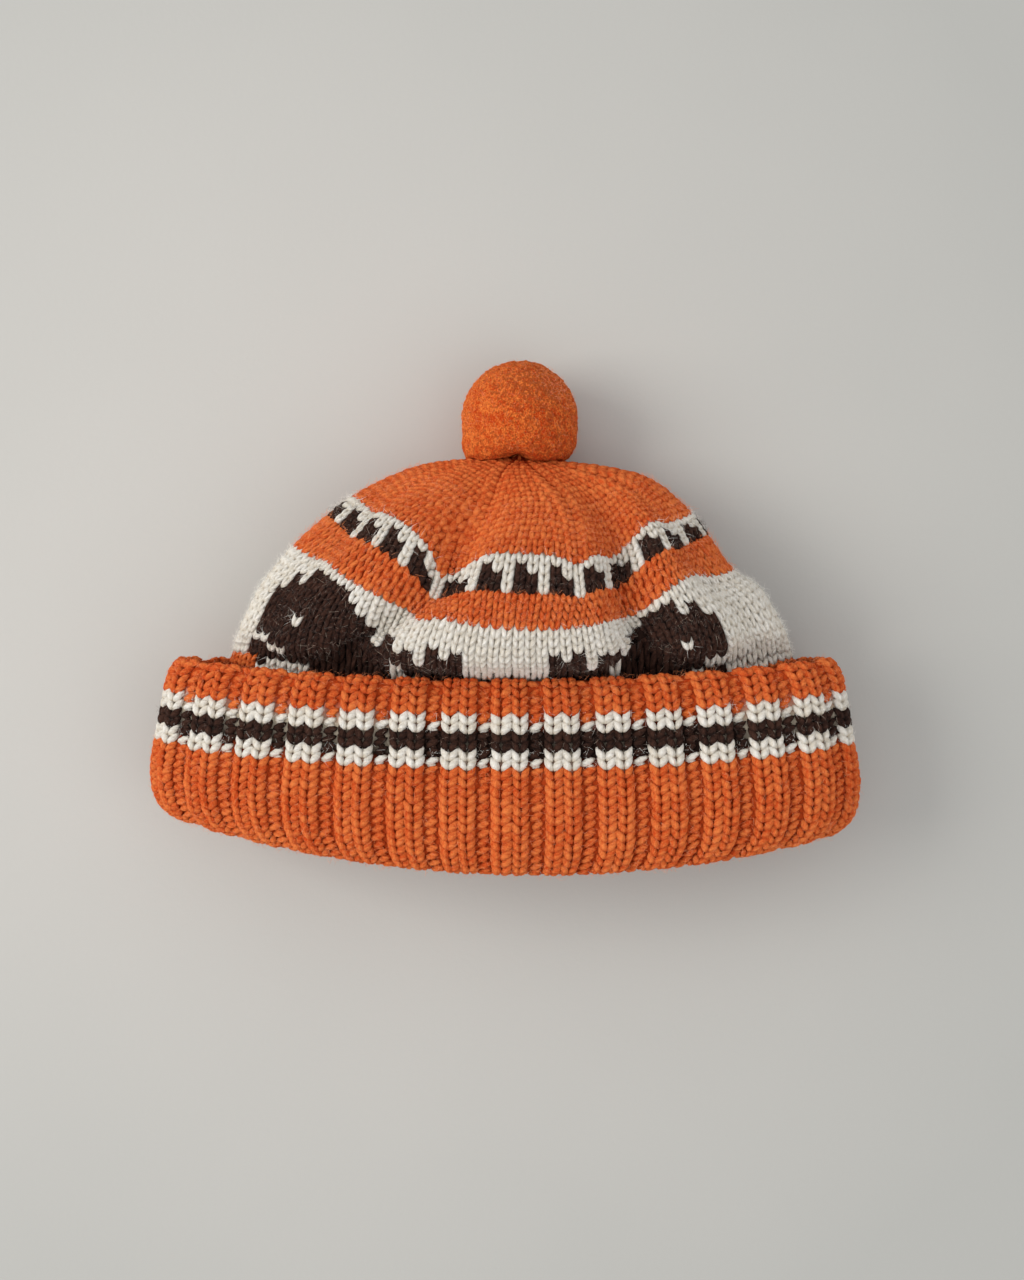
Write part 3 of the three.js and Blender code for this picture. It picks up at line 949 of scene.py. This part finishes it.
def layer_oval(layer, height, inset):
    """A layer of the cuff at one height: 0 is the turned-up one and 1 the inner one."""
    if layer == 0:
        return cuff_oval(height, inset * cuff_wall + rib_rise)
    foot = cuff_oval(0.05, cuff_wall + rib_rise + pocket_gap + inset * cuff_wall)
    top = crown_oval(0)
    top.update(half=top["half"] - inset * cuff_wall, high=top["high"] - inset * cuff_wall)
    top.update(low=top["low"] + inset * cuff_wall)
    for edge in fold_edge:
        foot[edge] = foot[edge] + cuff_wall * inset
        top[edge] = top[edge] - join_gap
    return {column: foot[column] + (top[column] - foot[column]) * height for column in foot}


# The wall in section, from between the layers over the lip, down the outside, round the fold and up the
# inside. rib is how much of the ribs shows there, and under how far the wall lies beneath the stitches.
cuff_path = columns(
    "layer height inset rib under",
    [
        [0, 0.12, 1, 0, 0.2],
        [0, 0.55, 1, 0, 0.2],
        [0, 0.93, 1, 0.2, 0.4],
        [0, 1.0, 0.5, 0.7, 1.2],
        [0, 0.95, 0, 1, 1.1],
        [0, 0.6, 0, 1, 1.1],
        [0, 0.28, 0, 1, 1.1],
        [0, 0.09, 0, 1, 1.2],
        [0, 0, 0.3, 0.8, 1.3],
        [1, 0, 0.5, 0.5, 1.4],
        [1, 0.12, 1, 0.8, 1.4],
        [1, 0.55, 1, 0.8, 1.2],
        [1, 1, 1, 0.2, 0.6],
        [1, 1, 0, 0, 0.2],
        [1, 0.55, 0, 0, 0.2],
        [1, 0.12, 0, 0, 0.2],
    ],
)
rib_shares = np.arange(rib_count * 12) / (rib_count * 12)
path_count = len(cuff_path["layer"])


def rib_rise_at(share):
    turn = np.abs(((share - rib_offset) * rib_count + 0.5) % 1 - 0.5)
    return np.interp(turn, rib_shape["turn"], rib_shape["rise"])


def cuff_ring(station):
    """One station of the wall, once round, with its ribs."""
    layer, height, inset, rib = (cuff_path[name][station] for name in ("layer", "height", "inset", "rib"))
    oval = layer_oval(layer, height, inset)
    points = oval_point(oval, even_angles(oval, rib_shares - np.round(rib_shares)))
    around = np.roll(points, -1, axis=0) - np.roll(points, 1, axis=0)
    out = unit(np.stack([-around[:, 2], np.zeros(len(points)), around[:, 0]], axis=-1))
    side = 1 if layer == 0 else -1
    points = points + out * (side * rib_rise * rib * rib_rise_at(rib_shares))[:, None]
    points[:, 1] += knit_origin
    points[:, 2] = np.maximum(points[:, 2], 0.05)
    return points * MM


def smooth_path(rings, steps, loop):
    """Rings between the given ones, on a smooth curve through them."""
    count = len(rings)
    result = []
    for i in range(count if loop else count - 1):
        if loop:
            four = [rings[(i + k) % count] for k in (-1, 0, 1, 2)]
        else:
            four = [rings[min(max(i + k, 0), count - 1)] for k in (-1, 0, 1, 2)]
        gaps = [four[k + 1] - four[k] for k in range(3)]
        spans = [np.linalg.norm(gap, axis=-1, keepdims=True) ** 0.5 + 1e-9 for gap in gaps]
        for step in range(steps):
            t = step / steps
            slope_a = (four[1] - four[0]) / spans[0] - (four[2] - four[0]) / (spans[0] + spans[1])
            slope_a = (slope_a + (four[2] - four[1]) / spans[1]) * spans[1]
            slope_b = (four[2] - four[1]) / spans[1] - (four[3] - four[1]) / (spans[1] + spans[2])
            slope_b = (slope_b + (four[3] - four[2]) / spans[2]) * spans[1]
            if not loop and i == 0:
                slope_a = four[2] - four[1]
            if not loop and i == count - 2:
                slope_b = four[2] - four[1]
            result.append(
                four[1] * (2 * t**3 - 3 * t**2 + 1) + slope_a * (t**3 - 2 * t**2 + t)
                + four[2] * (3 * t**2 - 2 * t**3) + slope_b * (t**3 - t**2)
            )
    if not loop:
        result.append(rings[-1])
    return result


lip_station = 3
fold_station = 9
top_station = 12
path_steps = 8
seen_stations = range(lip_station - 1, top_station + 1)
rings = np.array(smooth_path([cuff_ring(station) for station in seen_stations], path_steps, loop=False))
outer_rows = 25
inner_rows = 20
ring_gaps = np.linalg.norm(np.diff(rings, axis=0), axis=-1)
run = np.concatenate([np.zeros((1, rings.shape[1])), np.cumsum(ring_gaps, axis=0)])
lip_at = run[path_steps // 2]
fold_at = run[(fold_station - lip_station + 1) * path_steps - path_steps // 2]
quarter_rows = 4


def resample_cuff():
    """The face of the cuff with its rows of knitting spaced evenly, from inside the crown to the lip."""
    lines = []
    low_stripe = np.interp(wrapped(rib_shares), [-0.3, -0.2, -0.06, 0.1, 0.2], [0.0, 0.036, 0.0, 0.0, 0.01])
    for quarter in range((inner_rows + outer_rows) * quarter_rows + 1):
        row = quarter / quarter_rows
        if row < inner_rows:
            wanted = fold_at + (run[-1] - fold_at) * (1 - row / inner_rows)
        else:
            rise = (row - inner_rows) / outer_rows
            wanted = fold_at + (lip_at - fold_at) * (rise - low_stripe * math.sin(math.pi * rise))
        line = np.empty((rings.shape[1], 3))
        for k in range(rings.shape[1]):
            for axis in range(3):
                line[k, axis] = np.interp(wanted[k], run[:, k], rings[:, k, axis])
        lines.append(line)
    return np.array(lines)


cuff_rows = inner_rows + outer_rows
cuff_face = Sheet(resample_cuff(), cuff_rows)
cuff_bands = [(5, ORANGE), (2, CREAM), (2, BROWN), (2, CREAM)]
gap_bands = [(6, ORANGE), (1, CREAM), (3, BROWN), (1, CREAM)]


def band_at(bands, row):
    """The colour of a row, counted from the lip."""
    for count, colour in bands:
        if row < count:
            return colour
        row -= count
    return ORANGE


def cuff_knit():
    """The two knit stitches on each rib, all the way up."""
    rows = np.repeat(np.arange(cuff_rows), rib_count * 2)
    ribs = np.tile(np.repeat(np.arange(rib_count), 2), cuff_rows)
    sides = np.tile([-1, 1], rib_count * cuff_rows)
    colours = np.array([band_at(cuff_bands, cuff_rows - 1 - row) for row in rows])
    return (ribs + sides * 0.172) / rib_count + rib_offset, rows, colours


knit_width = 0.36 / rib_count
shares, rows, colours = cuff_knit()
outside = rows >= inner_rows - 2
outer_legs = legs_for(
    cuff_face, shares[outside], rows[outside], knit_width,
    spread=(0.05, 0.49), reach=(-0.34, 1.1), lift=(-0.1, -1.15), thick=(0.84, 0.95),
)
outer_legs[0][:, 1] += 0.7 * MM * smooth(cuff_rows - 4, cuff_rows - 1, np.tile(rows[outside], 2))
lay_in_colours("cuff_", "_ribs", outer_legs, np.tile(colours[outside], 2), leg)

inner_leg = add_leg("inner_leg", sides=5, rings=3)
inner_legs = legs_for(cuff_face, shares[~outside], rows[~outside], knit_width)
finish_piece(lay("cuff_inner_ribs", *inner_legs, inner_leg, orange_wool), "orange_wool")


# The purl stitches in the gaps: in each row a strand across the gap, and a smaller one under it.
purl_lengths = np.array([5.3, 3.0])
purl_widths = np.array([2.3, 1.4])
purl_depths = np.array([0.6, 0.95])
purl_slants = np.array([27, 8])
purl_heights = np.array([0.5, 0.02])
purl_floor = 1.3


def purl_bumps():
    """The places, turns, sizes and tints of the purl strands, and their colours."""
    rows = np.repeat(np.arange(cuff_rows), rib_count * 2)
    ribs = np.tile(np.repeat(np.arange(rib_count), 2), cuff_rows)
    small = np.tile([0, 1], rib_count * cuff_rows)
    seen = (small == 0) | (rows >= inner_rows - 6)
    rows, ribs, small = rows[seen], ribs[seen], small[seen]
    middle = (ribs + 0.5) / rib_count + rib_offset
    share = middle + chance.normal(0, 0.012, len(rows)) / rib_count
    row = rows + purl_heights[small]
    centre = cuff_face.at(share, row)
    out = cuff_face.out(middle, row, reach=0.003)
    across = unit(cuff_face.at(share + 0.002, row) - cuff_face.at(share - 0.002, row))
    up = np.cross(out, across)
    slant = np.radians(purl_slants[small]) + chance.normal(0, 0.08, len(rows))
    along = across * np.cos(slant)[:, None] + up * np.sin(slant)[:, None]
    right = np.cross(along, out)
    ends = 1 - smooth(inner_rows - 1, inner_rows + 3, row) + 2.4 * smooth(cuff_rows - 4, cuff_rows - 1, row)
    centre = centre - out * (purl_depths[small] + 0.7 * ends)[:, None] * MM
    centre[:, 2] = np.maximum(centre[:, 2], purl_floor * MM)
    length = purl_lengths[small] * MM * chance.normal(1, 0.06, len(rows))
    thick = purl_widths[small] * MM * chance.normal(1, 0.05, len(rows))
    sizes = np.stack([thick, length, thick * 0.9], axis=-1)
    colours = np.array([band_at(gap_bands, cuff_rows - 1 - place) for place in rows])
    return (centre, euler_of(right, along, out), sizes, chance.random(len(rows))), colours


purl = add_leg("purl", sides=6, rings=3)
bumps, bump_colours = purl_bumps()
lay_in_colours("cuff_", "_gaps", bumps, bump_colours, purl)


def make_cuff_shell():
    """The closed wall under the ribs' stitches, two layers and the fold in one."""
    skip, steps = 2, 3
    stations = [cuff_ring(station)[::skip] for station in range(path_count)]
    face = np.array(smooth_path(stations, steps, loop=True))
    up = np.roll(face, -1, axis=0) - np.roll(face, 1, axis=0)
    across = np.roll(face, -1, axis=1) - np.roll(face, 1, axis=1)
    out = unit(np.cross(up, across))
    along = np.arange(len(face)) / steps
    under = np.interp(along, np.arange(path_count + 1), [*cuff_path["under"], cuff_path["under"][0]])
    face = face - out * under[:, None, None] * MM
    face[..., 2] = np.maximum(face[..., 2], 0.15 * MM)
    shell = mesh_from_rows("cuff_shell", list(face), closed_loop=True)
    which, _ = nearest(cuff_face.points[:, ::3].reshape(-1, 3), face.reshape(-1, 3))
    wide = cuff_face.points.shape[1] // 3
    rows = which // wide / quarter_rows
    risen = rib_rise_at(which % wide / wide)
    tones = []
    for row, rise in zip(rows, risen):
        tones.append(band_at(cuff_bands if rise > 0.45 else gap_bands, max(cuff_rows - 1 - int(row), 0)))
    dye_points(shell, shaded_dyes[tones])
    shell.data.materials.append(shaded_knitting_back)
    finish_piece(shell, "orange_wool", "cuff")


make_cuff_shell()

# Pompom
# The pompom is a ball of cut wool ends, trimmed close and felted with wear, sewn to the crown's tip. It is
# pressed broad where it sits.
pompom_diameter = 38.6
tuft_rise = 1.1
pompom_squash = 0.8
pompom_reach = 12.6
tuft_count = 150
strand_count = 3200
parting_depth = 3.6
dent_depth = 1.6
foot_rise = 1.6
pompom_radius = (pompom_diameter / 2 - tuft_rise) * MM
pompom_centre = np.array([tip[0], tip[1] + pompom_reach * MM, pompom_diameter / 2 * MM])


def spiral_ways(count, jitter, source):
    """Directions spread evenly over a ball."""
    index = np.arange(count)
    height = 1 - (2 * index + 1) / count
    ring = np.sqrt(1 - height**2)
    angle = math.pi * (3 - math.sqrt(5)) * index
    ways = np.stack([ring * np.cos(angle), height, ring * np.sin(angle)], axis=-1)
    return unit(ways + source.normal(0, jitter, ways.shape))


def ball_reach(ways):
    broad = np.hypot(ways[:, 0], ways[:, 2]) ** 4 + (-np.minimum(ways[:, 1], 0) / pompom_squash) ** 4
    return np.where(ways[:, 1] > 0, 1.0, 1 / np.maximum(broad, 1e-9) ** 0.25)


def make_pompom():
    """The ball of wool ends, parted over the crown's tip, with a dent and a fuller left foot."""
    body = bmesh.new()
    bmesh.ops.create_icosphere(body, subdivisions=6, radius=1.0)
    mesh = bpy.data.meshes.new("pompom_wool")
    body.to_mesh(mesh)
    body.free()
    ways = unit(np.array([vertex.co for vertex in mesh.vertices]))
    source = np.random.default_rng(11)
    tufts = spiral_ways(tuft_count, 0.03, source)
    strands = spiral_ways(strand_count, 0.012, source)
    _, from_tuft = nearest(tufts, ways)
    which, from_strand = nearest(strands, ways)
    strand_heights = source.normal(0, 0.12, len(strands))
    tuft_gap = math.sqrt(4 * math.pi / len(tufts)) / 2
    strand_gap = math.sqrt(4 * math.pi / len(strands)) / 2
    rise = 0.3 * (1 - (from_tuft / tuft_gap) ** 2) + 0.6
    rise = rise + 0.22 * (1 - (from_strand / strand_gap) ** 2) + strand_heights[which]
    parting = np.exp(-(((ways[:, 0] + 0.06) / 0.26) ** 2)) * smooth(0.4, 0.85, -ways[:, 1])
    rise = rise - parting_depth * parting * smooth(-0.3, 0.3, ways[:, 2])
    dent = unit(np.array([[0.62, 0.55, 0.56]]))[0]
    rise = rise - dent_depth * np.exp(-(np.linalg.norm(ways - dent, axis=1) / 0.28) ** 2)
    rise = rise + foot_rise * smooth(0.3, 0.75, -ways[:, 0]) * smooth(0.25, 0.7, -ways[:, 1])
    reach = pompom_radius * ball_reach(ways) + rise * MM
    points = pompom_centre + ways * reach[:, None]
    seat = crown_face.points[::2, ::8]
    seat_shares = np.arange(seat.shape[1]) / seat.shape[1]
    seat_rows = np.clip(np.arange(0, crown_face.points.shape[0], 2) / 4, 0.7, crown_rows - 1.5)
    outs = np.concatenate([crown_face.out(seat_shares, row) for row in seat_rows])
    seat = seat.reshape(-1, 3)
    which_seat, _ = nearest(seat, points)
    away = np.sum((points - seat[which_seat]) * outs[which_seat], axis=1)
    clearance = 0.4 * MM
    low = (away < clearance) & (ways[:, 1] < 0.2)
    points[low] += outs[which_seat][low] * (clearance - away[low])[:, None]
    points[:, 2] = np.maximum(points[:, 2], clearance)
    mesh.vertices.foreach_set("co", points.ravel())
    for face in mesh.polygons:
        face.use_smooth = True
    tones = source.random(len(strands))[which]
    attribute = mesh.attributes.new("tint", "FLOAT", "POINT")
    attribute.data.foreach_set("value", tones.astype(np.float32))
    ball = bpy.data.objects.new("pompom_wool", mesh)
    bpy.context.collection.objects.link(ball)
    return ball


def pompom_finish():
    """Felted wool ends: mottled orange, with darker red flecks that grow denser towards the right, partly
    the wool's own mottling and partly painted shade on the side away from the window.
    """
    felted = Finish("pompom_wool")
    spot = felted.node("ShaderNodeTexCoord", out="Object")
    tint = felted.attribute("tint", "Fac")
    combed = felted.node("ShaderNodeMapping", sockets={"Vector": spot, "Scale": (1.0, 0.8, 0.9)})
    fibres = felted.noise(combed, 2400.0, 3.0, 0.7)
    flecks = felted.noise(combed, 1150.0, 3.0, 0.6)
    patch = felted.noise(spot, 60.0, 2.0)
    shade = felted.clamp(fibres * 5.0 + tint * 0.8 + flecks * 3.0 + patch - 4.35)
    to_the_right = felted.node("ShaderNodeSeparateXYZ", sockets={"Vector": spot})
    # Painted shade: the dark red share grows towards the right-hand side of the ball, away from the window.
    side = felted.clamp(to_the_right * 45.0 + 0.55)
    red = felted.clamp(flecks * 12.0 + patch * 3.0 + side * 0.9 - 8.0)
    body = felted.blend(shade, linear(206, 62, 12), linear(254, 140, 62))
    felted.surface(base_color=felted.blend(red * 0.7, body, linear(150, 34, 8)))
    felted.surface(roughness=0.97, sheen_weight=0.3, sheen_roughness=0.5)
    felted.relief(fibres + flecks, 1.0, 0.0009)
    felted.shader.inputs["Sheen Tint"].default_value = linear(250, 150, 84)
    felted.shader.inputs["Specular IOR Level"].default_value = 0.1
    return felted.material


pompom = make_pompom()
pompom.data.materials.append(pompom_finish())
finish_piece(pompom, "pompom_wool", "pompom")

# Loose hairs
# The wool is hairy: short fibres stand out of every strand and catch the light along the hat's outline.
# Some pale ones lie over the brown.
hair_tones = [(238, 140, 84), (240, 236, 226), (60, 37, 28), (168, 148, 130)]
hair_colours = np.array([linear(*tone) for tone in hair_tones])
PALE_OVER_BROWN = 3
pale_share = 0.13


def add_hair():
    """One fibre, 1 long and 1 thick at its root, bent over along its way."""
    body = bmesh.new()
    rings = []
    for along, thick in ((0.0, 0.5), (0.55, 0.4)):
        corners = []
        for side in range(3):
            angle = 2 * math.pi * side / 3
            height = thick * math.sin(angle) + (3.0 if along > 0 else 0.0)
            corners.append(body.verts.new((thick * math.cos(angle), along, height)))
        rings.append(corners)
    end = body.verts.new((0, 1, 0))
    body.faces.new(rings[0])
    for low, high in zip(rings, rings[1:]):
        for side in range(3):
            after = (side + 1) % 3
            body.faces.new((low[side], low[after], high[after], high[side]))
    for side in range(3):
        body.faces.new((rings[-1][side], rings[-1][(side + 1) % 3], end))
    bmesh.ops.recalc_face_normals(body, faces=body.faces)
    mesh = bpy.data.meshes.new("hair")
    body.to_mesh(mesh)
    body.free()
    shape = bpy.data.objects.new("hair", mesh)
    bpy.context.collection.objects.link(shape)
    return shape


def add_fuzz():
    """One short straight fibre, 1 long and 1 thick at its root."""
    roots = [(0.5, 0, 0), (-0.25, 0, 0.43), (-0.25, 0, -0.43)]
    mesh = bpy.data.meshes.new("fuzz")
    mesh.from_pydata([*roots, (0, 1, 0)], [], [(0, 1, 2), (0, 3, 1), (1, 3, 2), (2, 3, 0)])
    shape = bpy.data.objects.new("fuzz", mesh)
    bpy.context.collection.objects.link(shape)
    return shape


def hair_finish():
    fibre = Finish("loose_hairs")
    dye = fibre.attribute("dye", "Color")
    tint = fibre.attribute("tint", "Fac")
    fibre.surface(base_color=fibre.blend(tint * 0.12, dye, linear(250, 240, 225)), roughness=0.9)
    return fibre.material


hair = add_hair()
fuzz = add_fuzz()
loose_hairs = hair_finish()


def lay_hairs(name, slot, points, outs, colours, lengths, stand, shape):
    """Hairs that leave the knitting at points, near enough along it, and stand up by the share stand."""
    count = len(points)
    lean = chance.normal(0, 1, (count, 3))
    lean = unit(lean - outs * np.sum(lean * outs, axis=1, keepdims=True))
    up = unit(lean + outs * (stand * chance.random(count))[:, None])
    points[:, 2] = np.maximum(points[:, 2], 0.3 * MM)
    sinks = points[:, 2] + up[:, 2] * lengths * MM < 0.3 * MM
    up[sinks, 2] = np.abs(up[sinks, 2])
    right = unit(np.cross(up, outs))
    thick = 0.07 * MM * chance.normal(1, 0.15, count)
    sizes = np.stack([thick, lengths * MM, thick], axis=-1)
    turns = euler_of(right, up, np.cross(right, up))
    piece = lay(name, points, turns, sizes, chance.random(count), shape, loose_hairs, colours=colours)
    finish_piece(piece, slot)


def lay_over(name, slot, face, share, level, kinds, lengths, shape):
    """Hairs over a face of the knitting, coloured as the stitches under them, with some pale over brown."""
    count = len(share)
    outs = face.out(share, level)
    points = face.at(share, level) + outs * 0.3 * MM
    kinds = np.where((kinds == BROWN) & (chance.random(count) < pale_share), PALE_OVER_BROWN, kinds)
    lay_hairs(name, slot, points, outs, hair_colours[kinds], chance.uniform(*lengths, count), 0.9, shape)


def crown_hairs(name, count, lengths, shape):
    share = chance.random(count)
    level = 1.5 + (crown_rows - 3) * (1 - np.sqrt(1 - 0.93 * chance.random(count)))
    dye = crown_dye(share, level)
    kinds = np.argmin(np.linalg.norm(dye[:, None, :3] - shaded_dyes[None, :, :3], axis=2), axis=1)
    lay_over(name, "cream_wool", crown_face, share, level, kinds, lengths, shape)


def cuff_hairs(name, count, lengths, shape):
    share = chance.random(count)
    level = inner_rows - 1 + (outer_rows + 1) * chance.random(count)
    kinds = np.array([band_at(cuff_bands, int(cuff_rows - row)) for row in level])
    lay_over(name, "orange_wool", cuff_face, share, level, kinds, lengths, shape)


def pompom_hairs(name, count, lengths, shape):
    ways = spiral_ways(count, 0.02, chance)
    ways = ways[ways[:, 1] > -0.55]
    points = pompom_centre + ways * (pompom_radius * ball_reach(ways) + 0.1 * MM)[:, None]
    points[:, 2] = np.maximum(points[:, 2], 0.5 * MM)
    colours = np.tile(hair_colours[ORANGE], (len(ways), 1))
    lay_hairs(name, "pompom_wool", points, ways, colours, chance.uniform(*lengths, len(ways)), 1.2, shape)


crown_hairs("crown_hairs", 8000, (1.4, 3.8), hair)
crown_hairs("crown_fuzz", 11000, (0.8, 2.0), fuzz)
cuff_hairs("cuff_hairs", 6000, (1.2, 3.2), hair)
cuff_hairs("cuff_fuzz", 11000, (0.8, 2.0), fuzz)
pompom_hairs("pompom_hairs", 3200, (1.2, 3.2), hair)
pompom_hairs("pompom_fuzz", 7000, (0.8, 1.8), fuzz)

for shape in (leg, inner_leg, purl, hair, fuzz):
    bpy.data.objects.remove(shape, do_unlink=True)
